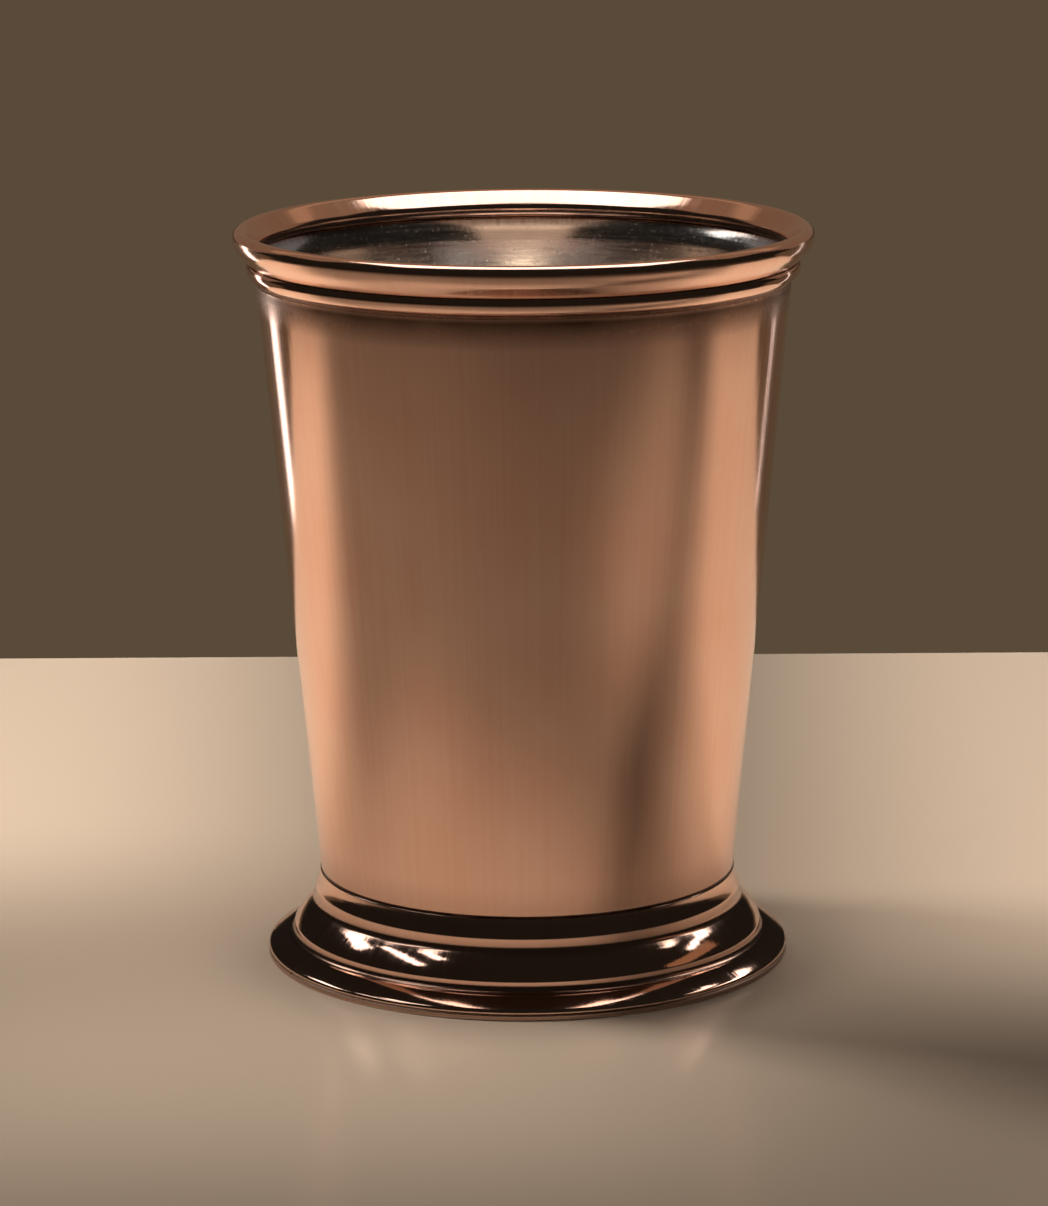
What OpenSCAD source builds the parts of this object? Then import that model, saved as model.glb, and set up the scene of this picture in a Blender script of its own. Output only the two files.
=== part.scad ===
// Julep cup of brazed sheet metal: a copper body with a rolled lip, a silver-coloured lining caught in
// the lip, a half-round bead under the flare, and a hollow stepped foot closed by a base plate.
// Every piece is turned about Z. The cup stands on z = 0. Outlines are lists of [radius, height].

/* [Cup] */
// Height from the table to the top of the lip
cup_h = 110; // [90:1:140]
// Outer radius of the wall at the underside of the floor
bottom_r = 30.55; // [26:0.05:36]
// Outer radius that the line of the wall reaches at the height of the lip's top
top_r = 40.25; // [36:0.05:48]
// Thickness of the copper sheet
copper_t = 0.8; // [0.6:0.05:0.9]
// Outer radius of the bend between wall and floor
corner_r = 2; // [1.6:0.1:3]

/* [Lining] */
// Thickness of the lining
lining_t = 0.4; // [0.3:0.05:0.5]
// Gap between lining and copper
lining_fit = 0.05; // [0.02:0.01:0.08]

/* [Lip] */
// How far the lip stands out past the line of the wall
flare_w = 2.65; // [2.4:0.05:3]
// Slope of the flare, in degrees from the horizontal
flare_angle = 45; // [42:1:50]
// Radius of the hollow bend from the wall into the flare
neck_r = 5.85; // [4.5:0.05:7]
// Radius of the round bend from the flare up to the lip
shoulder_r = 2.9; // [2.6:0.05:3.2]
// Radius of the rolled lip
lip_r = 1.3; // [1.25:0.05:1.45]
// Width of the flat inner face of the lip, which slopes like the flare
fold_w = 2.2; // [1.8:0.1:2.5]
// Gap between the rolled edge and the lining
curl_fit = 0.05; // [0.02:0.01:0.1]

/* [Bead] */
// Radius of the bead's section
bead_r = 1.65; // [1.4:0.05:1.8]
// Height of the bead's middle above the start of the hollow bend
bead_lift = 2; // [1.3:0.05:2.2]
// How far the middle of the bead's section lies inside the line of the wall
bead_sink = 0.4; // [0:0.05:0.6]
// Gap between bead and wall
bead_fit = 0.05; // [0.02:0.01:0.1]
// Radius of the hollow of the braze under the bead
bead_cove_r = 1; // [0.6:0.05:1.4]

/* [Foot] */
// Thickness of the foot's metal
foot_t = 0.8; // [0.6:0.05:0.95]
// Height of the lower step above the underside of the foot
lower_rise = 3.65; // [3.2:0.05:4.4]
// Height of the upper step above the lower one
upper_rise = 5.5; // [5:0.05:6.5]
// Height of the collar's top edge above the upper step
collar_rise = 2.75; // [2.4:0.05:3.1]
// How far the body reaches down into the foot from the collar's top edge
grip_h = 5.9; // [5.2:0.05:6.6]
// Thickness of the collar at its top edge
collar_t = 0.12; // [0.1:0.01:0.2]
// Gap between collar and wall
collar_fit = 0.05; // [0.02:0.01:0.08]
// How far the braze runs up the wall above the collar
collar_braze_h = 0.45; // [0.35:0.05:0.7]
// How far the upper step stands out past the collar
upper_w = 0.75; // [0.65:0.05:0.9]
// How far the lower step stands out past the upper one
lower_w = 3.2; // [2.6:0.05:3.6]
// How far the rim stands out past the lower step
rim_w = 4; // [3.4:0.05:5]
// Height of the upright band of the upper step
upper_band_h = 1.1; // [0.6:0.05:1.3]
// Height of the upright band of the lower step
lower_band_h = 0.5; // [0.3:0.05:0.7]
// Height of the upright band of the rim
rim_band_h = 0.15; // [0.1:0.05:0.3]
// Radius of the hollow under the upper step
upper_cove_r = 1.6; // [1.2:0.1:1.9]
// Radius of the hollow under the lower step
lower_cove_r = 1.1; // [0.8:0.1:1.3]
// Radius of the rim's rounded top edge
rim_r = 0.6; // [0.4:0.05:0.7]

/* [Base] */
// Thickness of the base plate
plate_t = 0.85; // [0.7:0.05:0.9]
// Radius of the base plate's rounded edges
plate_edge_r = 0.2; // [0.1:0.05:0.3]
// Thickness of the braze between plate and foot
seam_t = 0.15; // [0.1:0.01:0.15]
// Width of that ring of braze
seam_w = 1.1; // [0.6:0.1:1.3]
// How far it lies behind the edge of the foot
seam_inset = 0.3; // [0.2:0.05:0.6]

/* [Hidden] */
$fn = 128;
copper = [0.78, 0.47, 0.34];
silver = [0.80, 0.79, 0.78];
braze = [0.50, 0.30, 0.21];
// Straight pieces in one rounded stretch of an outline
arc_steps = 12;
// Slopes of the foot's hollows at their lower ends, in degrees below the horizontal
upper_cove_slope = 40;
lower_cove_slope = 4;
// Slope of the collar at its top edge, from where it flares out in a slight hollow
collar_slope = 82;
// Slopes at which the lower swell leaves its hollow and runs into the foot's rounded rim
lower_swell_slope = 20;
rim_slope = 34;

// Heights that the steps of the foot add up to, from the table up
seam_z = plate_t + seam_t;
lower_z = seam_z + lower_rise;
upper_z = lower_z + upper_rise;
collar_z = upper_z + collar_rise;
floor_z = collar_z - grip_h;

// The wall is a straight cone, and wall_lean is its angle from the vertical
wall_slope = (top_r - bottom_r) / (cup_h - floor_z);
wall_lean = atan(wall_slope);
wall_up = [sin(wall_lean), cos(wall_lean)];
wall_out = [cos(wall_lean), -sin(wall_lean)];
function wall_r(z) = bottom_r + (z - floor_z) * wall_slope;

// Middles of the bends in the body's sheet, from the floor up
corner_z = floor_z + corner_r;
corner_c = [wall_r(corner_z) - corner_r / cos(wall_lean), corner_z];
lip_z = cup_h - lip_r;
lip_c = [top_r + flare_w - lip_r, lip_z];
shoulder_c = [top_r + flare_w - shoulder_r, lip_z];
flare_rise = tan(flare_angle);
flare_end = shoulder_c + shoulder_r * [sin(flare_angle), -cos(flare_angle)];
flare_start_r = wall_r(flare_end.y - flare_rise * flare_end.x) / (1 - flare_rise * wall_slope);
flare_start = [flare_start_r, flare_end.y - flare_rise * (flare_end.x - flare_start_r)];
neck_turn = 90 - wall_lean - flare_angle;
neck_start = flare_start - neck_r * tan(neck_turn / 2) * wall_up;
neck_c = neck_start + neck_r * wall_out;

// Depths of the lining's two faces under the body's outer surface
lining_outer_d = copper_t + lining_fit;
lining_inner_d = lining_outer_d + lining_t;

// The lip is rolled about lip_c, runs flat over fold_w and is rolled on about fold_c, until its outside is
// curl_fit away from the lining. Depths are measured square to the flare, from the middle of the shoulder
fold_a = 90 + flare_angle;
fold_c = lip_c - fold_w * [cos(flare_angle), sin(flare_angle)];
fold_depth = (lip_c.x - shoulder_c.x) * sin(flare_angle);
curl_depth = shoulder_r - lining_inner_d - curl_fit;
curl_angle = 180 + flare_angle + asin((curl_depth - fold_depth) / lip_r);

// Middles of the bead and of the hollow of its braze, which touches both the bead and the wall
bead_z = neck_start.y + bead_lift;
bead_c = [wall_r(bead_z) - bead_sink, bead_z];
bead_cove_out = bead_cove_r + bead_sink * cos(wall_lean);
bead_cove_down = sqrt(pow(bead_r + bead_cove_r, 2) - pow(bead_cove_out, 2));
bead_cove_c = bead_c + bead_cove_out * wall_out - bead_cove_down * wall_up;

// Directions from the bead's middle to where that hollow meets the bead and to where the bead meets the wall
bead_cove_a = -wall_lean - acos(bead_cove_out / (bead_r + bead_cove_r));
bead_wall_a = -wall_lean - acos(bead_sink * cos(wall_lean) / bead_r);

// Radii of the foot, from the outer corner of its collar's top edge outward
collar_corner = [wall_r(collar_z) + collar_fit + collar_t, collar_z];
upper_r = collar_corner.x + upper_w;
lower_r = upper_r + lower_w;
foot_r = lower_r + rim_w;

// Points of an arc about c from angle a to angle b, from step first to step last of arc_steps
function arc(c, r, a, b, first = 0, last = arc_steps) =
    [for (i = [first:last]) c + r * [cos(a + (b - a) * i / arc_steps), sin(a + (b - a) * i / arc_steps)]];

// The same points in the opposite order
function back(points) = [for (i = [len(points) - 1:-1:0]) points[i]];

// A round out and down from p to q, without p itself, that leaves p at a slope below the horizontal. It is a
// swell where the straight line to q is steeper than that slope, and a hollow where it is less steep
function swell(p, q, slope) =
    let (
        turn = atan2(p.y - q.y, q.x - p.x) - slope,
        r = norm(q - p) / (2 * sin(turn)),
        c = p - r * [sin(slope), cos(slope)]
    ) arc(c, r, 90 - slope, 90 - slope - 2 * turn, 1);

// A hollow that starts upright at p and turns outward to a slope below the horizontal
function cove(p, r, slope) = arc(p + [r, 0], r, 180, 270 - slope);

// The body's sheet from its floor up to the lip, at a depth d under its outer surface
function sheet(d) = concat(
    arc(corner_c, corner_r - d, -90, -wall_lean),
    arc(neck_c, neck_r + d, 180 - wall_lean, 90 + flare_angle),
    arc(shoulder_c, shoulder_r - d, flare_angle - 90, 0));

// All the space inside that surface
module sheet_fill(d) {
    polygon(concat([[0, floor_z + d]], sheet(d), [[0, lip_z]]));
}

// A turned cup between two depths under the body's outer surface, whose edge has the points given
module turned_cup(outer_d, inner_d, edge) {
    rotate_extrude()
        polygon(concat(
            [[0, floor_z + outer_d]],
            sheet(outer_d),
            edge,
            back(sheet(inner_d)),
            [[0, floor_z + inner_d]]));
}

// Copper cup whose edge is rolled over and back down onto the lining
module body() {
    inside_r = lip_r - copper_t;
    curl_outside = concat(
        arc(lip_c, lip_r, 0, 90, first = 1),
        arc(lip_c, lip_r, 90, fold_a, first = 1),
        arc(fold_c, lip_r, fold_a, curl_angle));
    curl_inside = concat(
        arc(fold_c, inside_r, curl_angle, fold_a),
        arc(lip_c, inside_r, fold_a, 0, last = arc_steps - 1));
    color(copper)
        turned_cup(0, copper_t, concat(curl_outside, curl_inside));
}

// Lining, whose rounded edge ends inside the curl of the lip
module liner() {
    edge_r = lining_t / 2;
    edge_c = [shoulder_c.x + shoulder_r - lining_outer_d - edge_r, lip_z];
    color(silver)
        turned_cup(lining_outer_d, lining_inner_d, arc(edge_c, edge_r, 0, 180, 1, arc_steps - 1));
}

// The underside of the bead, from the edge of its braze to the wall
function bead_under() = arc(bead_c, bead_r, bead_cove_a, bead_wall_a);

// Half-round wire, its back shaped to the wall and the neck
module rim_bead() {
    color(copper)
        rotate_extrude()
            difference() {
                polygon(concat(
                    arc(bead_c, bead_r, 120, 0),
                    arc(bead_c, bead_r, 0, bead_cove_a, 1, arc_steps - 1),
                    bead_under()));
                sheet_fill(-bead_fit);
            }
}

// Braze in the corner between the underside of the bead and the wall
module bead_braze() {
    color(braze)
        rotate_extrude()
            difference() {
                polygon(concat(
                    arc(bead_cove_c, bead_cove_r, 180 - wall_lean, 180 + bead_cove_a, last = arc_steps - 1),
                    bead_under(),
                    [bead_c]));
                sheet_fill(0);
            }
}

// Outline of the foot, from the collar's top edge down to the underside of the rim
function foot_outline() =
    let (
        upper_cove = cove([upper_r, upper_z - upper_band_h], upper_cove_r, upper_cove_slope),
        lower_cove = cove([lower_r, lower_z - lower_band_h], lower_cove_r, lower_cove_slope),
        rim_c = [foot_r - rim_r, seam_z + rim_band_h],
        rim_top = rim_c + rim_r * [sin(rim_slope), cos(rim_slope)]
    ) concat(
        [collar_corner],
        swell(collar_corner, [upper_r, upper_z], collar_slope),
        upper_cove,
        swell(upper_cove[arc_steps], [lower_r, lower_z], upper_cove_slope),
        lower_cove,
        swell(lower_cove[arc_steps], rim_top, lower_swell_slope),
        arc(rim_c, rim_r, 90 - rim_slope, 0, first = 1),
        [[foot_r, seam_z]]);

// All the space inside the foot's outline, which is moved in and down by t
module foot_fill(t) {
    moved = [for (p = foot_outline()) p - [t, t]];
    polygon(concat([[0, collar_z - t]], moved, [[0, seam_z - t]]));
}

// Hollow stepped foot with a thin collar round the wall
module foot_ring() {
    color(copper)
        rotate_extrude()
            difference() {
                foot_fill(0);
                foot_fill(foot_t);
                sheet_fill(-collar_fit);
            }
}

// Braze in the corner between the collar's top edge and the wall, hollow outside
module foot_braze() {
    top = [wall_r(collar_z + collar_braze_h), collar_z + collar_braze_h];
    w = collar_corner.x - top.x;
    r = (w * w + collar_braze_h * collar_braze_h) / (2 * w);
    color(braze)
        rotate_extrude()
            polygon(concat(
                [[wall_r(collar_z), collar_z]],
                arc(top + [r, 0], r, 180 + asin(collar_braze_h / r), 180)));
}

// Disc that closes the foot and rests on the table
module base_plate() {
    edge_x = foot_r - plate_edge_r;
    color(copper)
        rotate_extrude()
            polygon(concat(
                [[0, 0]],
                arc([edge_x, plate_edge_r], plate_edge_r, -90, 0),
                arc([edge_x, plate_t - plate_edge_r], plate_edge_r, 0, 90),
                [[0, plate_t]]));
}

// Ring of braze between the base plate and the underside of the foot ring
module base_braze() {
    outer_r = foot_r - seam_inset;
    color(braze)
        rotate_extrude()
            translate([outer_r - seam_w, plate_t])
                square([seam_w, seam_t]);
}

body();
liner();
rim_bead();
bead_braze();
foot_ring();
foot_braze();
base_plate();
base_braze();
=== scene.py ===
"""Looks of the julep cup. Every visible piece is turned from the section of the CAD part, in metres.

Outlines are lists of [radius, height] in millimetres, as in the part's source, and MM turns them into metres.
"""
from math import acos, asin, atan, atan2, ceil, cos, hypot, pi, radians, sin, sqrt, tan

import bpy
import numpy as np
from mathutils import Matrix, Vector


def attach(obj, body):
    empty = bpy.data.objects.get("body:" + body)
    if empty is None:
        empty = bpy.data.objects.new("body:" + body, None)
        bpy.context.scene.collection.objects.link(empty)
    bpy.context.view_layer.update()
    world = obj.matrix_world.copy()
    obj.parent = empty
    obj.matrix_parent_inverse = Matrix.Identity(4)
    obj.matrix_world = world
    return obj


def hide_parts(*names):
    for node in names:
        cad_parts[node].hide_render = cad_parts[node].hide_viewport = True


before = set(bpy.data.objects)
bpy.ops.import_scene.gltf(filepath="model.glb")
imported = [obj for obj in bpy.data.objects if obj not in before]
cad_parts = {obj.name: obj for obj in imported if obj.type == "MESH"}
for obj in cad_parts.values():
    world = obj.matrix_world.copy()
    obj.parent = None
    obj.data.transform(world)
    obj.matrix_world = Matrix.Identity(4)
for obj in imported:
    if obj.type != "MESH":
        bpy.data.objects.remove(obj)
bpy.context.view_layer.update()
MM = 0.001

# ------------------------------------------------------------------ camera

# Focal length over the 1206 pixel side of the photograph, and the camera's place and turn
FOCAL_PX, LONG_PX, SENSOR_MM = 4728.36, 1206, 36
CAMERA_Y, CAMERA_Z = -0.69124, 0.20460
YAW, PITCH, ROLL = radians(-0.019), radians(-12.364), radians(0.35)


def add_camera():
    data = bpy.data.cameras.new("camera")
    data.sensor_width = SENSOR_MM
    data.lens = FOCAL_PX / LONG_PX * SENSOR_MM
    data.clip_start, data.clip_end = 0.01, 20
    forward = Vector((sin(YAW) * cos(PITCH), cos(YAW) * cos(PITCH), sin(PITCH)))
    right = forward.cross(Vector((0, 0, 1))).normalized()
    down = forward.cross(right)
    across = cos(ROLL) * right + sin(ROLL) * down
    up = sin(ROLL) * right - cos(ROLL) * down
    turn = Matrix((across, up, -forward)).transposed()
    camera = bpy.data.objects.new("camera", data)
    camera.matrix_world = Matrix.Translation((0, CAMERA_Y, CAMERA_Z)) @ turn.to_4x4()
    bpy.context.scene.collection.objects.link(camera)
    bpy.context.scene.camera = camera


add_camera()

# ------------------------------------------------------------------ section of the cup

# The driving sizes of part.scad, in millimetres and degrees
CUP_H = 110
BOTTOM_R = 30.55
TOP_R = 40.25
COPPER_T = 0.8
CORNER_R = 2
LINING_T = 0.4
LINING_FIT = 0.05

FLARE_W = 2.65
FLARE_ANGLE = 45
NECK_R = 5.85
SHOULDER_R = 2.9
LIP_R = 1.3
FOLD_W = 2.2
CURL_FIT = 0.05

BEAD_R = 1.65
BEAD_LIFT = 2
BEAD_SINK = 0.4
BEAD_FIT = 0.05
BEAD_COVE_R = 1

FOOT_T = 0.8
LOWER_RISE = 3.65
UPPER_RISE = 5.5
COLLAR_RISE = 2.75
GRIP_H = 5.9
COLLAR_T = 0.12
COLLAR_FIT = 0.05
COLLAR_BRAZE_H = 0.45
UPPER_W = 0.75
LOWER_W = 3.2
RIM_W = 4
UPPER_BAND_H = 1.1
LOWER_BAND_H = 0.5
RIM_BAND_H = 0.15
UPPER_COVE_R = 1.6
LOWER_COVE_R = 1.1
RIM_R = 0.6
COLLAR_SLOPE = 82
UPPER_SLOPE = 40
LOWER_SLOPE = 4
LOWER_SWELL_SLOPE = 20
RIM_SLOPE = 34

PLATE_T = 0.85
PLATE_EDGE_R = 0.2
SEAM_T = 0.15
SEAM_W = 1.1
SEAM_INSET = 0.3

# Heights and places that follow from them

SEAM_Z = PLATE_T + SEAM_T
LOWER_Z = SEAM_Z + LOWER_RISE
UPPER_Z = LOWER_Z + UPPER_RISE
COLLAR_Z = UPPER_Z + COLLAR_RISE
FLOOR_Z = COLLAR_Z - GRIP_H
WALL_SLOPE = (TOP_R - BOTTOM_R) / (CUP_H - FLOOR_Z)
LEAN = atan(WALL_SLOPE)
LEAN_DEG = LEAN * 180 / pi
WALL_UP = np.array([sin(LEAN), cos(LEAN)])
WALL_OUT = np.array([cos(LEAN), -sin(LEAN)])


def wall_r(z):
    return BOTTOM_R + (z - FLOOR_Z) * WALL_SLOPE


def at_angle(degrees):
    return np.array([cos(radians(degrees)), sin(radians(degrees))])


def degrees_of(angle):
    return angle * 180 / pi


CORNER_Z = FLOOR_Z + CORNER_R
CORNER_C = np.array([wall_r(CORNER_Z) - CORNER_R / cos(LEAN), CORNER_Z])
LIP_Z = CUP_H - LIP_R
LIP_C = np.array([TOP_R + FLARE_W - LIP_R, LIP_Z])
SHOULDER_C = np.array([TOP_R + FLARE_W - SHOULDER_R, LIP_Z])
FLARE_RISE = tan(radians(FLARE_ANGLE))
FLARE_END = SHOULDER_C + SHOULDER_R * at_angle(FLARE_ANGLE - 90)
FLARE_START_R = wall_r(FLARE_END[1] - FLARE_RISE * FLARE_END[0]) / (1 - FLARE_RISE * WALL_SLOPE)
FLARE_START = np.array([FLARE_START_R, FLARE_END[1] - FLARE_RISE * (FLARE_END[0] - FLARE_START_R)])
NECK_START = FLARE_START - NECK_R * tan(radians(90 - LEAN_DEG - FLARE_ANGLE) / 2) * WALL_UP
NECK_C = NECK_START + NECK_R * WALL_OUT
LINING_OUTER_D = COPPER_T + LINING_FIT
LINING_INNER_D = LINING_OUTER_D + LINING_T
FOLD_A = 90 + FLARE_ANGLE
FOLD_C = LIP_C - FOLD_W * at_angle(FLARE_ANGLE)
FOLD_DEPTH = (LIP_C[0] - SHOULDER_C[0]) * sin(radians(FLARE_ANGLE))
CURL_DEPTH = SHOULDER_R - LINING_INNER_D - CURL_FIT
CURL_ANGLE = 180 + FLARE_ANGLE + degrees_of(asin((CURL_DEPTH - FOLD_DEPTH) / LIP_R))
BEAD_Z = NECK_START[1] + BEAD_LIFT
BEAD_C = np.array([wall_r(BEAD_Z) - BEAD_SINK, BEAD_Z])
COVE_OUT = BEAD_COVE_R + BEAD_SINK * cos(LEAN)
BEAD_COVE_C = BEAD_C + COVE_OUT * WALL_OUT - sqrt((BEAD_R + BEAD_COVE_R) ** 2 - COVE_OUT ** 2) * WALL_UP
BEAD_COVE_A = -LEAN_DEG - degrees_of(acos(COVE_OUT / (BEAD_R + BEAD_COVE_R)))
BEAD_WALL_A = -LEAN_DEG - degrees_of(acos(BEAD_SINK * cos(LEAN) / BEAD_R))
COLLAR_CORNER = np.array([wall_r(COLLAR_Z) + COLLAR_FIT + COLLAR_T, COLLAR_Z])
UPPER_R = COLLAR_CORNER[0] + UPPER_W
LOWER_R = UPPER_R + LOWER_W
FOOT_R = LOWER_R + RIM_W


ARC_STEP_DEG = 3


def arc(c, r, a, b):
    """Points on the circle with centre c and radius r, from angle a to b in degrees."""
    steps = max(2, ceil(abs(b - a) / ARC_STEP_DEG))
    return [np.array(c) + r * at_angle(a + (b - a) * i / steps) for i in range(steps + 1)]


def swell(p, q, slope):
    """The arc from p to q that leaves p falling at slope degrees: a swell, or a hollow where it bends up."""
    turn = atan2(p[1] - q[1], q[0] - p[0]) - radians(slope)
    r = hypot(*(np.array(q) - p)) / (2 * sin(turn))
    c = np.array(p) - r * at_angle(90 - slope)
    return arc(c, r, 90 - slope, 90 - slope - degrees_of(2 * turn))[1:]


def cove(p, r, slope):
    """The hollow quarter that starts straight down at p and ends falling at slope degrees."""
    return arc([p[0] + r, p[1]], r, 180, 270 - slope)


def sheet(d):
    """The side of the cup's sheet, from the floor's corner to the lip, set in by d from the outside."""
    return (arc(CORNER_C, CORNER_R - d, -90, -LEAN_DEG)
            + arc(NECK_C, NECK_R + d, 180 - LEAN_DEG, 90 + FLARE_ANGLE)
            + arc(SHOULDER_C, SHOULDER_R - d, FLARE_ANGLE - 90, 0))


def body_outline():
    inside_r = LIP_R - COPPER_T
    curl = (arc(LIP_C, LIP_R, 0, FOLD_A)[1:] + arc(FOLD_C, LIP_R, FOLD_A, CURL_ANGLE)
            + arc(FOLD_C, inside_r, CURL_ANGLE, FOLD_A) + arc(LIP_C, inside_r, FOLD_A, 0)[:-1])
    return [[0, FLOOR_Z]] + sheet(0) + curl + sheet(COPPER_T)[::-1] + [[0, FLOOR_Z + COPPER_T]]


def liner_outline():
    edge_r = LINING_T / 2
    edge = arc([SHOULDER_C[0] + SHOULDER_R - LINING_OUTER_D - edge_r, LIP_Z], edge_r, 0, 180)[1:-1]
    return ([[0, FLOOR_Z + LINING_OUTER_D]] + sheet(LINING_OUTER_D) + edge
            + sheet(LINING_INNER_D)[::-1] + [[0, FLOOR_Z + LINING_INNER_D]])


# The bead's circle is drawn from and to angles that lie inside the wall, and cut there
BEAD_FIRST_A = 120
BEAD_LAST_A = BEAD_WALL_A - 10
BACK_START = 0.001


def bead_outline():
    """The bead outside the wall and the neck, whose surface is BEAD_FIT away from it."""
    circle = arc(BEAD_C, BEAD_R, BEAD_FIRST_A, BEAD_LAST_A)
    back = [p for p in sheet(-BEAD_FIT) if p[1] > CORNER_Z]
    back = [back[0] - BACK_START * WALL_UP] + back

    def outside(p):
        return p[0] > np.interp(p[1], [q[1] for q in back], [q[0] for q in back])

    shown = [p for p in circle if outside(p)]
    top, low = shown[0], shown[-1]
    behind = [p for p in back if low[1] < p[1] < top[1]]
    foot_of = [np.interp(low[1], [q[1] for q in back], [q[0] for q in back]), low[1]]
    return shown + [np.array(foot_of)] + behind


def bead_braze_outline():
    return (arc(BEAD_COVE_C, BEAD_COVE_R, 180 - LEAN_DEG, 180 + BEAD_COVE_A)
            + arc(BEAD_C, BEAD_R, BEAD_COVE_A, BEAD_WALL_A)[1:])


def foot_side():
    upper = cove([UPPER_R, UPPER_Z - UPPER_BAND_H], UPPER_COVE_R, UPPER_SLOPE)
    lower = cove([LOWER_R, LOWER_Z - LOWER_BAND_H], LOWER_COVE_R, LOWER_SLOPE)
    rim_c = np.array([FOOT_R - RIM_R, SEAM_Z + RIM_BAND_H])
    rim_top = rim_c + RIM_R * at_angle(90 - RIM_SLOPE)
    return ([COLLAR_CORNER]
            + swell(COLLAR_CORNER, [UPPER_R, UPPER_Z], COLLAR_SLOPE)
            + upper + swell(upper[-1], [LOWER_R, LOWER_Z], UPPER_SLOPE)
            + lower + swell(lower[-1], rim_top, LOWER_SWELL_SLOPE)
            + arc(rim_c, RIM_R, 90 - RIM_SLOPE, 0)[1:] + [np.array([FOOT_R, SEAM_Z])])


def foot_outline():
    outside = foot_side()
    inside = [np.array(p) - FOOT_T for p in outside]
    gap = COLLAR_FIT / cos(LEAN)
    inside = [p for p in inside if p[0] > wall_r(p[1]) + gap and p[1] > SEAM_Z]
    grip = [[wall_r(z) + gap, z] for z in (inside[0][1], COLLAR_Z)]
    return outside + [[inside[-1][0], SEAM_Z]] + inside[::-1] + grip


def foot_braze_outline():
    top = np.array([wall_r(COLLAR_Z + COLLAR_BRAZE_H), COLLAR_Z + COLLAR_BRAZE_H])
    w = COLLAR_CORNER[0] - top[0]
    r = (w * w + COLLAR_BRAZE_H ** 2) / (2 * w)
    low_a = 180 + degrees_of(asin(COLLAR_BRAZE_H / r))
    return [[wall_r(COLLAR_Z), COLLAR_Z]] + arc(top + [r, 0], r, low_a, 180)


def plate_outline():
    x = FOOT_R - PLATE_EDGE_R
    return ([[0, 0]] + arc([x, PLATE_EDGE_R], PLATE_EDGE_R, -90, 0)
            + arc([x, PLATE_T - PLATE_EDGE_R], PLATE_EDGE_R, 0, 90) + [[0, PLATE_T]])


def base_braze_outline():
    outer = FOOT_R - SEAM_INSET
    return [[outer - SEAM_W, PLATE_T], [outer, PLATE_T], [outer, SEAM_Z], [outer - SEAM_W, SEAM_Z]]


# ------------------------------------------------------------------ turning an outline into a mesh

SEGMENTS = 192
# Spacing of the points while the outline is softened, and the longest and most bent span that is kept
DENSE_MM = 0.04
SPAN_MM = 4.0
SPAN_DEG = 5.0
# Blur and strength of the masks for worn arrises and for film and painted shade in hollow corners
EDGE_BLUR_MM, EDGE_GAIN = 0.14, 0.42
NOOK_BLUR_MM, NOOK_GAIN = 0.45, 0.9
BEND_BLUR_MM = 0.12
MIN_COUNT, MIN_MARKS, MIN_SIGMA = 24, 8, 0.5
SAME_PLACE_MM = 1e-6


def blurred(values, sigma, ring):
    """values along the dense outline, blurred over sigma samples; a ring has no ends."""
    reach = max(1, int(4 * sigma))
    kernel = np.exp(-0.5 * (np.arange(-reach, reach + 1) / sigma) ** 2)
    kernel /= kernel.sum()
    if ring:
        padded = np.pad(values, reach, mode="wrap")
    else:
        padded = np.pad(values, reach, mode="reflect", reflect_type="odd")
    return np.convolve(padded, kernel, "valid")


def softened(outline, ring, round_mm):
    """Points, normals, edge wear and nook shade along an outline whose arrises are eased by about round_mm."""
    points = np.array([np.array(p, float) for p in outline])
    if ring:
        points = np.vstack([points, points[:1]])
    keep = np.r_[True, np.hypot(*np.diff(points, axis=0).T) > SAME_PLACE_MM]
    points = points[keep]
    along = np.r_[0, np.cumsum(np.hypot(*np.diff(points, axis=0).T))]
    count = max(MIN_COUNT, ceil(along[-1] / DENSE_MM))
    at = np.linspace(0, along[-1], count, endpoint=not ring)
    r, z = (np.interp(at, along, points[:, i]) for i in (0, 1))
    step = along[-1] / (count if ring else count - 1)
    sigma = max(round_mm / step, MIN_SIGMA)
    r, z = blurred(r, sigma, ring), blurred(z, sigma, ring)
    if not ring:
        r[0] = r[-1] = 0
    if ring:
        dr, dz = (np.roll(v, -1) - np.roll(v, 1) for v in (r, z))
    else:
        dr, dz = np.gradient(r), np.gradient(z)
    heading = np.unwrap(np.arctan2(dz, dr))
    area = np.sum(r * np.roll(z, -1) - np.roll(r, -1) * z)
    way = 1 if area > 0 else -1
    turn = np.gradient(heading) * way / step
    if ring:
        turn[0] = turn[-1] = 0
    edge = np.clip(blurred(turn, EDGE_BLUR_MM / step, ring) * EDGE_GAIN, 0, 1)
    nook = np.clip(-blurred(turn, NOOK_BLUR_MM / step, ring) * NOOK_GAIN, 0, 1)
    bend = blurred(np.abs(turn), BEND_BLUR_MM / step, ring) * 180 / pi
    pace = np.r_[0, np.cumsum(step * (1 / SPAN_MM + bend[:-1] / SPAN_DEG))]
    total = pace[-1] + (step * (1 / SPAN_MM + bend[-1] / SPAN_DEG) if ring else 0)
    marks = max(MIN_MARKS, ceil(total))
    chosen = np.searchsorted(pace, np.linspace(0, total, marks, endpoint=not ring) - 1e-9)
    chosen = np.unique(np.clip(chosen, 0, count - 1))
    normal = np.stack([np.sin(heading), -np.cos(heading)], 1) * way
    return np.stack([r, z], 1)[chosen], normal[chosen], edge[chosen], nook[chosen]


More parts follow.
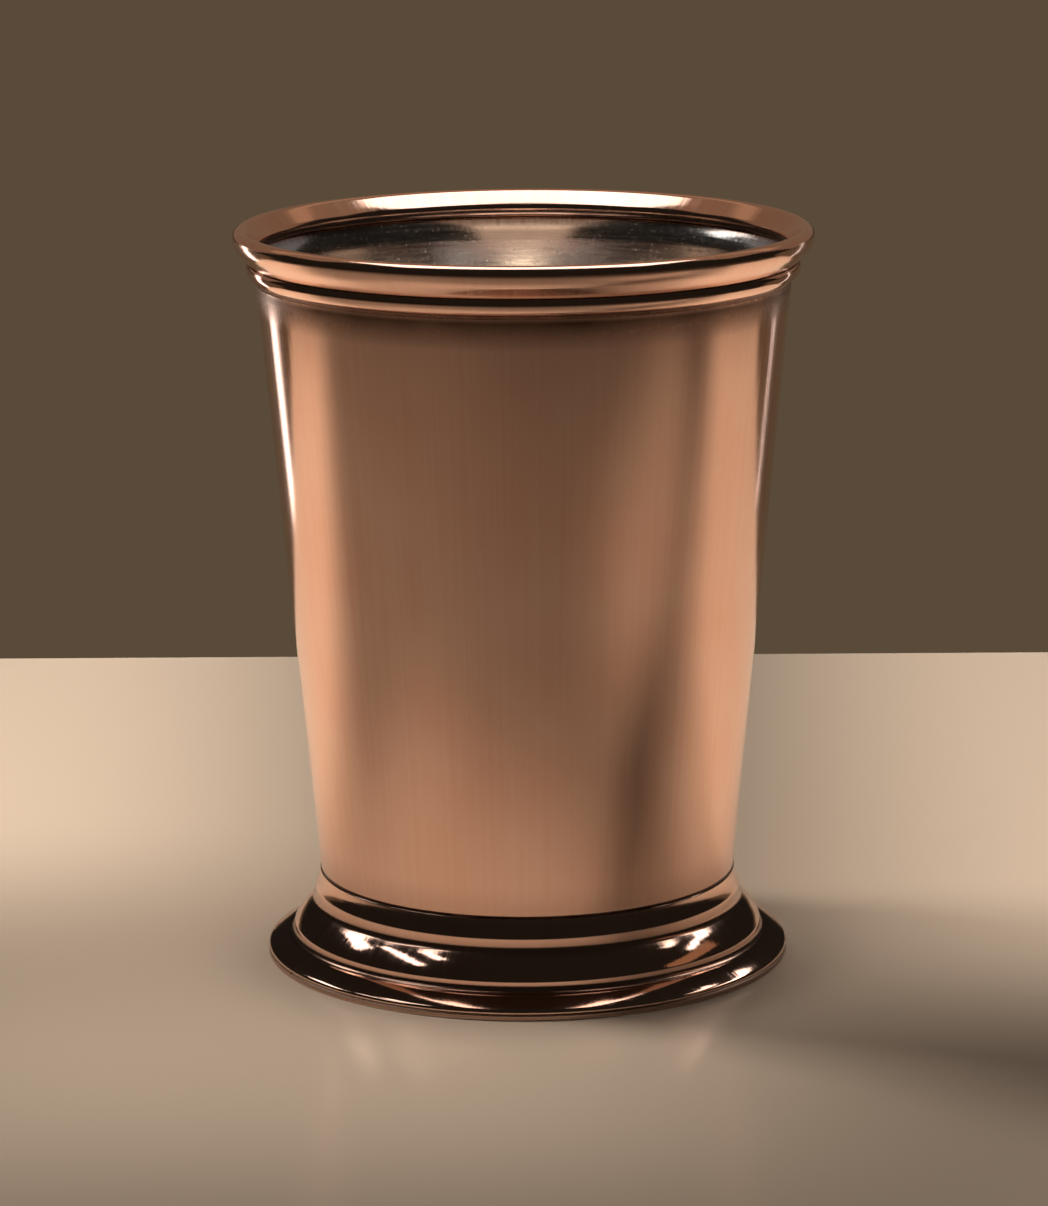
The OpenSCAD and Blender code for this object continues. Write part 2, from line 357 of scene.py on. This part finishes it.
def turned(name, outline, ring=True, round_mm=0.05, painted_shade_lines=()):
    """A mesh object turned about Z from an outline, with its own UV map and two masks for its material.

    The last argument lists lines of painted shade round the piece, each as its height, its width and its depth
    of tone.
    """
    profile, normal, edge, nook = softened(outline, ring, round_mm)
    # Lines of painted shade are added to the mask of the hollows
    for z, width, depth in painted_shade_lines:
        nook = np.maximum(nook, depth * np.exp(-((profile[:, 1] - z) / width) ** 2))
    rows = len(profile)
    angle = 2 * pi * np.arange(SEGMENTS) / SEGMENTS
    around = np.stack([np.cos(angle), np.sin(angle)], 1)
    poles = [] if ring else [0, rows - 1]
    vertices, normals, masks, first = [], [], [], []
    for i in range(rows):
        first.append(len(vertices))
        if i in poles:
            vertices.append((0, 0, profile[i, 1] * MM))
            normals.append((0, 0, 1 if normal[i, 1] > 0 else -1))
            masks.append((edge[i], nook[i]))
            continue
        for c, s in around:
            vertices.append((profile[i, 0] * c * MM, profile[i, 0] * s * MM, profile[i, 1] * MM))
            normals.append((normal[i, 0] * c, normal[i, 0] * s, normal[i, 1]))
            masks.append((edge[i], nook[i]))
    length = np.r_[0, np.cumsum(np.hypot(*np.diff(profile, axis=0).T))]
    if ring:
        length = np.r_[length, length[-1] + np.hypot(*(profile[0] - profile[-1]))]
    v = length / length[-1]
    faces, uvs = [], []
    for i in range(rows if ring else rows - 1):
        j = (i + 1) % rows
        for k in range(SEGMENTS):
            m = (k + 1) % SEGMENTS
            u0, u1 = k / SEGMENTS, (k + 1) / SEGMENTS
            if i in poles:
                faces.append((first[i], first[j] + m, first[j] + k))
                uvs += [((u0 + u1) / 2, v[i]), (u1, v[i + 1]), (u0, v[i + 1])]
            elif j in poles:
                faces.append((first[i] + k, first[i] + m, first[j]))
                uvs += [(u0, v[i]), (u1, v[i]), ((u0 + u1) / 2, v[i + 1])]
            else:
                faces.append((first[i] + k, first[i] + m, first[j] + m, first[j] + k))
                uvs += [(u0, v[i]), (u1, v[i]), (u1, v[i + 1]), (u0, v[i + 1])]
    area = np.sum(profile[:, 0] * np.roll(profile[:, 1], -1) - np.roll(profile[:, 0], -1) * profile[:, 1])
    if area < 0:
        sizes = [len(f) for f in faces]
        faces = [f[::-1] for f in faces]
        at, turned_uvs = 0, []
        for n in sizes:
            turned_uvs += uvs[at:at + n][::-1]
            at += n
        uvs = turned_uvs
    mesh = bpy.data.meshes.new(name)
    mesh.from_pydata(vertices, [], faces)
    layer = mesh.uv_layers.new(name="OFBake")
    layer.uv.foreach_set("vector", np.array(uvs, np.float32).ravel())
    for mask, column in (("edge_wear", 0), ("nook_shade", 1)):
        attribute = mesh.attributes.new(mask, "FLOAT", "POINT")
        attribute.data.foreach_set("value", np.array(masks, np.float32)[:, column].copy())
    mesh.shade_smooth()
    mesh.normals_split_custom_set_from_vertices(normals)
    piece = bpy.data.objects.new(name, mesh)
    bpy.context.scene.collection.objects.link(piece)
    return piece


# ------------------------------------------------------------------ materials


class Nodes:
    """Short calls for one material's nodes."""

    def __init__(self, name):
        self.material = bpy.data.materials.new(name)
        self.material.use_nodes = True
        self.tree = self.material.node_tree
        self.shader = self.tree.nodes["Principled BSDF"]
        place = self.add("ShaderNodeTexCoord").outputs["Object"]
        self.place = place
        split = self.add("ShaderNodeSeparateXYZ", {0: place})
        flat = self.add("ShaderNodeCombineXYZ", {0: split.outputs[0], 1: split.outputs[1]}).outputs[0]
        self.side = self.vector("NORMALIZE", flat)
        self.radius = self.vector("LENGTH", flat, output=1)
        self.height = split.outputs[2]

    def add(self, kind, inputs=(), **settings):
        node = self.tree.nodes.new(kind)
        for key, value in settings.items():
            setattr(node, key, value)
        for key, value in dict(inputs).items():
            if isinstance(value, bpy.types.NodeSocket):
                self.tree.links.new(value, node.inputs[key])
            else:
                node.inputs[key].default_value = value
        return node

    def vector(self, operation, a, b=None, scale=None, output=0):
        inputs = {0: a}
        if b is not None:
            inputs[1] = b
        if scale is not None:
            inputs["Scale"] = scale
        return self.add("ShaderNodeVectorMath", inputs, operation=operation).outputs[output]

    def math(self, operation, a, b=0.0, clamp=False):
        return self.add("ShaderNodeMath", {0: a, 1: b}, operation=operation, use_clamp=clamp).outputs[0]

    def mask(self, name):
        return self.add("ShaderNodeAttribute", attribute_name=name).outputs["Fac"]

    def noise(self, around, along, detail=3.0, roughness=0.5, radial=0.0):
        """Noise with so many cells in a radian round the cup, in a metre of height and in a metre of radius."""
        place = self.vector("SCALE", self.side, scale=around)
        high = self.math("MULTIPLY", self.height, along)
        if radial:
            high = self.math("ADD", high, self.math("MULTIPLY", self.radius, radial))
        lift = self.add("ShaderNodeCombineXYZ", {2: high}).outputs[0]
        inputs = {"Vector": self.vector("ADD", place, lift), "Scale": 1.0,
                  "Detail": detail, "Roughness": roughness}
        return self.add("ShaderNodeTexNoise", inputs).outputs[0]

    def cloud(self, scale, detail=3.0):
        inputs = {"Vector": self.place, "Scale": scale, "Detail": detail}
        return self.add("ShaderNodeTexNoise", inputs).outputs[0]

    def spread(self, value, low, high, to_low=0.0, to_high=1.0):
        inputs = {0: value, 1: low, 2: high, 3: to_low, 4: to_high}
        return self.add("ShaderNodeMapRange", inputs).outputs[0]

    def mix(self, factor, a, b):
        node = self.add("ShaderNodeMix", data_type="RGBA")
        for socket, value in ((node.inputs[0], factor), (node.inputs[6], a), (node.inputs[7], b)):
            if isinstance(value, bpy.types.NodeSocket):
                self.tree.links.new(value, socket)
            else:
                socket.default_value = value if isinstance(value, float) else (*value, 1)
        return node.outputs[2]

    def blend_tone(self, a, b, share):
        """0 to 1, from two noises, with that share of the first."""
        both = self.math("ADD", self.math("MULTIPLY", a, share), self.math("MULTIPLY", b, 1 - share))
        return self.spread(both, 0.35, 0.65)

    def link(self, socket, name):
        self.tree.links.new(socket, self.shader.inputs[name])

    def bump(self, height, strength, depth):
        made = self.add("ShaderNodeBump", {"Height": height, "Strength": strength, "Distance": depth})
        self.link(made.outputs[0], "Normal")


COPPER_DARK = (0.90, 0.55, 0.42)
COPPER_LIGHT = (0.95, 0.64, 0.51)
# The dark colour below is laid into hollows and along listed lines: partly tarnish, partly painted shade
COPPER_TARNISH_AND_SHADE = (0.10, 0.05, 0.03)
COPPER_WORN = (1.0, 0.76, 0.63)
TARNISH_AND_SHADE_DEPTH, WORN_DEPTH = 0.8, 0.55
HAIR_ROUGH, FILM_ROUGH = 0.03, 0.22


def copper(name, rough, waves=0.0):
    """Polished copper: drawn streaks, soft clouds of colour, worn arrises, and a dark film in the nooks that is
    partly tarnish and partly painted shade.
    """
    n = Nodes(name)
    streak = n.noise(55, 22, 4)
    cloud = n.cloud(70)
    hair = n.noise(420, 90, 2)
    tone = n.blend_tone(streak, cloud, 0.5)
    colour = n.mix(tone, COPPER_DARK, COPPER_LIGHT)
    # Painted shade, with some tarnish, in the hollows and along the listed lines of the piece
    nook = n.math("MULTIPLY", n.mask("nook_shade"), n.spread(cloud, 0.3, 0.7, 0.7, 1.0))
    colour = n.mix(n.math("MULTIPLY", nook, TARNISH_AND_SHADE_DEPTH), colour, COPPER_TARNISH_AND_SHADE)
    worn = n.math("MULTIPLY", n.mask("edge_wear"), WORN_DEPTH)
    colour = n.mix(worn, colour, COPPER_WORN)
    n.link(colour, "Base Color")
    base = n.spread(streak, 0.3, 0.7, *rough)
    base = n.math("ADD", base, n.math("MULTIPLY", n.spread(hair, 0.5, 0.75), HAIR_ROUGH))
    n.link(n.math("ADD", base, n.math("MULTIPLY", nook, FILM_ROUGH)), "Roughness")
    height = n.math("ADD", n.math("MULTIPLY", hair, 0.12), streak)
    if waves:
        height = n.math("ADD", height, n.math("MULTIPLY", n.noise(3.2, 34, 1), waves))
    n.bump(height, 0.35, 0.00003)
    n.shader.inputs["Metallic"].default_value = 1.0
    return n.material


SILVER_DARK = (0.66, 0.64, 0.62)
SILVER_LIGHT = (0.86, 0.84, 0.81)
SILVER_LOW = (0.50, 0.47, 0.45)
SILVER_NOOK_SHADE = (0.22, 0.19, 0.17)
SILVER_CURL_EDGE_AND_SHADE = (0.34, 0.22, 0.17)
LOW_FROM, LOW_TO, LOW_DEPTH = 0.02, 0.10, 0.55
EDGE_FROM, EDGE_TO, EDGE_GRAIN = 0.0393, 0.0400, 0.0008


def lining(name):
    """Silver-coloured lining, polished round and round, with fine pits.

    It is greyer towards the bottom, and has a dull grainy brown band where the lip's curl ends: the sheet's raw
    edge, with painted shade in the crease.
    """
    n = Nodes(name)
    rings = n.noise(5, 2600, 3, radial=2600)
    pits = n.cloud(1700, 2)
    cloud = n.cloud(60)
    tone = n.blend_tone(rings, cloud, 0.4)
    colour = n.mix(tone, SILVER_DARK, SILVER_LIGHT)
    low = n.spread(n.height, LOW_FROM, LOW_TO, LOW_DEPTH, 0.0)
    colour = n.mix(low, colour, SILVER_LOW)
    # Painted shade in the lining's hollow corners
    colour = n.mix(n.math("MULTIPLY", n.mask("nook_shade"), 0.6), colour, SILVER_NOOK_SHADE)
    # A grainy brown band at the curl's end: the sheet's raw edge, with painted shade in the crease under the
    # curl
    grainy = n.math("ADD", n.radius, n.math("MULTIPLY", n.noise(60, 300, 5, 0.7), EDGE_GRAIN))
    colour = n.mix(n.spread(grainy, EDGE_FROM, EDGE_TO), colour, SILVER_CURL_EDGE_AND_SHADE)
    n.link(colour, "Base Color")
    n.link(n.math("ADD", n.spread(rings, 0.3, 0.7, 0.12, 0.22),
                  n.math("MULTIPLY", n.spread(pits, 0.5, 0.8), 0.12)), "Roughness")
    n.bump(n.math("ADD", rings, n.math("MULTIPLY", pits, 0.8)), 0.25, 0.00002)
    n.shader.inputs["Metallic"].default_value = 1.0
    return n.material


BRAZE_DARK = (0.10, 0.05, 0.035)
BRAZE_LIGHT = (0.26, 0.14, 0.10)


def braze(name):
    """Dressed braze: dull, darker than the sheet, with the grain of the file left in it."""
    n = Nodes(name)
    grain = n.noise(160, 1800, 4)
    cloud = n.cloud(320)
    tone = n.blend_tone(grain, cloud, 0.4)
    n.link(n.mix(tone, BRAZE_DARK, BRAZE_LIGHT), "Base Color")
    n.link(n.spread(cloud, 0.3, 0.7, 0.28, 0.5), "Roughness")
    n.bump(grain, 0.5, 0.00006)
    n.shader.inputs["Metallic"].default_value = 1.0
    return n.material


# ------------------------------------------------------------------ pieces

wall_copper = copper("polished_copper_wall", (0.09, 0.15), waves=1.0)
ring_copper = copper("polished_copper_rings", (0.05, 0.10))
plate_copper = copper("polished_copper_plate", (0.12, 0.2))
silver = lining("polished_lining")
joint = braze("dressed_braze")

BRAZE_TOP_Z = COLLAR_Z + COLLAR_BRAZE_H
BEAD_LOW_Z = BEAD_COVE_C[1]
PIECES = [
    # CAD node, outline, ring, easing of the arrises, material, slot, lines of painted shade as (height, width,
    # depth)
    # The body's lines are painted shade: the black band under the bead, a dark line above the foot's braze and
    # a darker floor corner
    ("body", body_outline(), False, 0.05, wall_copper, "copper",
     [(BRAZE_TOP_Z, 0.35, 0.7), (BEAD_LOW_Z - 0.1, 0.8, 1.4), (FLOOR_Z, 2, 0.4)]),
    ("liner", liner_outline(), False, 0.04, silver, "lining", []),
    ("rim_bead", bead_outline(), True, 0.03, ring_copper, "copper", []),
    ("bead_braze", bead_braze_outline(), True, 0.02, joint, "braze", []),
    # Painted shade in the seam where the foot ring meets the base plate
    ("foot_ring", foot_outline(), True, 0.08, ring_copper, "copper", [(SEAM_Z, 0.12, 0.6)]),
    ("foot_braze", foot_braze_outline(), True, 0.02, joint, "braze", []),
    # Painted contact shadow: the base plate's edge is darkened all round
    ("base_plate", plate_outline(), False, 0.04, plate_copper, "copper",
     [(PLATE_T / 2, PLATE_T, 1.0)]),
    ("base_braze", base_braze_outline(), True, 0.02, joint, "braze", []),
]
for node, outline, ring, round_mm, material, slot, painted_shade_lines in PIECES:
    piece = turned("cup_" + node, outline, ring, round_mm, painted_shade_lines)
    piece.data.materials.append(material)
    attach(piece, "root")
    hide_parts(node)

# ------------------------------------------------------------------ stage

TABLE_END = 0.195
TABLE_REACH = 3
BACKDROP_Y, BACKDROP_X, BACKDROP_LOW, BACKDROP_TOP = 2, 4, -3, 0.05
FLOOR_COLOUR = (0.62, 0.48, 0.36, 1)
FLOOR_ROUGH = 0.2
BACKDROP_COLOUR = (0.100, 0.069, 0.041, 1)
WORLD_COLOUR = (0.012, 0.010, 0.008, 1)


def stage_sheet(name, corners, material):
    mesh = bpy.data.meshes.new(name)
    mesh.from_pydata(corners, [], [(0, 1, 2, 3)])
    mesh.materials.append(material)
    sheet_object = bpy.data.objects.new(name, mesh)
    bpy.context.scene.collection.objects.link(sheet_object)


def floor_material():
    material = bpy.data.materials.new("pale_floor")
    material.use_nodes = True
    shader = material.node_tree.nodes["Principled BSDF"]
    shader.inputs["Base Color"].default_value = FLOOR_COLOUR
    shader.inputs["Roughness"].default_value = FLOOR_ROUGH
    return material


def backdrop_material():
    material = bpy.data.materials.new("dark_backdrop")
    material.use_nodes = True
    shader = material.node_tree.nodes["Principled BSDF"]
    shader.inputs["Base Color"].default_value = (0.0, 0.0, 0.0, 1)
    shader.inputs["Roughness"].default_value = 1.0
    shader.inputs["Specular IOR Level"].default_value = 0.0
    shader.inputs["Emission Color"].default_value = BACKDROP_COLOUR
    shader.inputs["Emission Strength"].default_value = 1.0
    return material


stage_sheet("floor", [
    (-TABLE_REACH, -TABLE_REACH, 0), (TABLE_REACH, -TABLE_REACH, 0),
    (TABLE_REACH, TABLE_END, 0), (-TABLE_REACH, TABLE_END, 0)], floor_material())
stage_sheet("backdrop", [
    (-BACKDROP_X, BACKDROP_Y, BACKDROP_LOW), (BACKDROP_X, BACKDROP_Y, BACKDROP_LOW),
    (BACKDROP_X, BACKDROP_Y, BACKDROP_TOP), (-BACKDROP_X, BACKDROP_Y, BACKDROP_TOP)], backdrop_material())

world = bpy.data.worlds.new("studio")
bpy.context.scene.world = world
world.use_nodes = True
world.node_tree.nodes["Background"].inputs["Color"].default_value = WORLD_COLOUR
world.node_tree.nodes["Background"].inputs["Strength"].default_value = 1.0

# A lamp's use is "floor" for one that only lights the floor, whose mirror image is the shading of the wall,
# or the name of the group of pieces that mirror it
LIT_PIECES = {
    "lip": ("body", "rim_bead"),
    "lining": ("liner",),
    "top": ("body", "rim_bead", "liner"),
    "foot": ("foot_ring", "base_plate"),
    "low": ("liner", "foot_ring", "base_plate"),
}
LIT = {}
for use, nodes in LIT_PIECES.items():
    LIT[use] = bpy.data.collections.new("lit_" + use)
    for node in nodes:
        LIT[use].objects.link(bpy.data.objects["cup_" + node])

WARM_WHITE = (1.0, 0.96, 0.92)
SOFT_WHITE = (1.0, 0.96, 0.93)
LAMPS = [
    # name, place, aim, width, height, brightness of its face, half beam in degrees, colour, use
    ("left_box", (-0.40, 0.0, 0.69), (0, 0, 0), 0.36, 0.05, 3.0, 90, WARM_WHITE, "foot"),
    ("left_slat", (-0.53, -0.04, 0.59), (0, 0, 0), 0.36, 0.05, 3.0, 90, WARM_WHITE, "foot"),
    ("left_low_box", (-0.52, 0.27, 0.44), (0, 0, 0), 0.28, 0.10, 3.0, 90, WARM_WHITE, "low"),
    ("right_box", (0.57, 0.29, 0.48), (0, 0, 0), 0.36, 0.05, 3.0, 90, WARM_WHITE, "foot"),
    ("right_slat", (0.485, 0.226, 0.595), (0, 0, 0), 0.30, 0.05, 2.5, 90, (1.0, 0.94, 0.88), "foot"),
    ("right_low_box", (0.49, 0.41, 0.46), (0, 0, 0), 0.30, 0.06, 3.0, 90, WARM_WHITE, "foot"),
    ("right_card", (0.60, 0.05, 0.34), (0, 0, 0), 0.40, 0.10, 0.25, 90, (1.0, 0.55, 0.30), "foot"),
    ("over_bar", (0.0, 0.06, 0.60), (0, 0.06, 0), 0.60, 0.30, 2.2, 90, SOFT_WHITE, "top"),
    ("over_card", (0.0, 0.60, 0.90), (0, 0.60, 0), 2.40, 0.90, 0.20, 90, (1.0, 0.66, 0.44), "lip"),
    ("back_card", (0.0, 0.5, 0.33), (0, 0, 0.1), 1.60, 0.46, 0.17, 90, (1.0, 0.64, 0.42), "lip"),
    ("cream_card", (0.0, 0.5, 0.24), (0, 0, 0.1), 0.30, 0.22, 3.8, 90, (1.0, 0.76, 0.56), "lining"),
    ("lining_back", (0.0, 0.6, 0.34), (0, 0, 0.1), 1.80, 0.50, 0.14, 90, (1.0, 0.86, 0.82), "lining"),
    ("lining_card", (0.0, -0.10, 0.90), (0, -0.10, 0), 0.90, 2.40, 0.36, 90, (1.0, 0.64, 0.44), "lining"),
    ("lining_front", (0.0, -1.1, 0.60), (0, 0, 0.1), 0.90, 0.90, 0.50, 90, (1.0, 0.62, 0.42), "lining"),
    ("left_strip", (-0.41, 0.44, 0.0), (0, 0, 0.0), 0.06, 0.30, 3.0, 90, SOFT_WHITE, "lip"),
    ("right_strip", (0.37, 0.39, 0.0), (0, 0, 0.0), 0.012, 0.30, 2.0, 90, SOFT_WHITE, "lip"),
    ("left_key", (-0.38, 0.13, 0.48), (0, 0, 0), 0.12, 0.12, 17.0, 60, WARM_WHITE, "floor"),
    ("left_down", (-0.21, 0.165, 0.45), (-0.21, 0.165, 0), 0.34, 0.28, 1.25, 8, WARM_WHITE, "floor"),
    ("right_down", (0.22, 0.115, 0.45), (0.22, 0.115, 0), 0.34, 0.28, 1.20, 8, WARM_WHITE, "floor"),
    ("front_down", (0.0, -0.21, 0.50), (0, -0.21, 0), 0.50, 0.24, 0.10, 15, WARM_WHITE, "floor"),
    ("near_down", (-0.035, -0.05, 0.40), (-0.035, -0.05, 0), 0.14, 0.10, 0.45, 8, WARM_WHITE, "floor"),
    ("right_fill", (0.21, -0.12, 0.45), (0.21, -0.12, 0), 0.22, 0.12, 0.45, 10, WARM_WHITE, "floor"),
]
for name, place, aim, width, height, glow, beam, colour, use in LAMPS:
    data = bpy.data.lights.new(name, "AREA")
    data.shape = "RECTANGLE"
    data.size, data.size_y = width, height
    data.energy = glow * pi * width * height
    data.spread = radians(2 * beam)
    data.color = colour
    lamp = bpy.data.objects.new(name, data)
    lamp.location = place
    lamp.rotation_euler = (Vector(aim) - Vector(place)).to_track_quat("-Z", "Y").to_euler()
    lamp.visible_camera = False
    lamp.visible_glossy = use != "floor"
    if use in LIT:
        lamp.light_linking.receiver_collection = LIT[use]
    bpy.context.scene.collection.objects.link(lamp)

bpy.context.scene.view_settings.view_transform = "Standard"
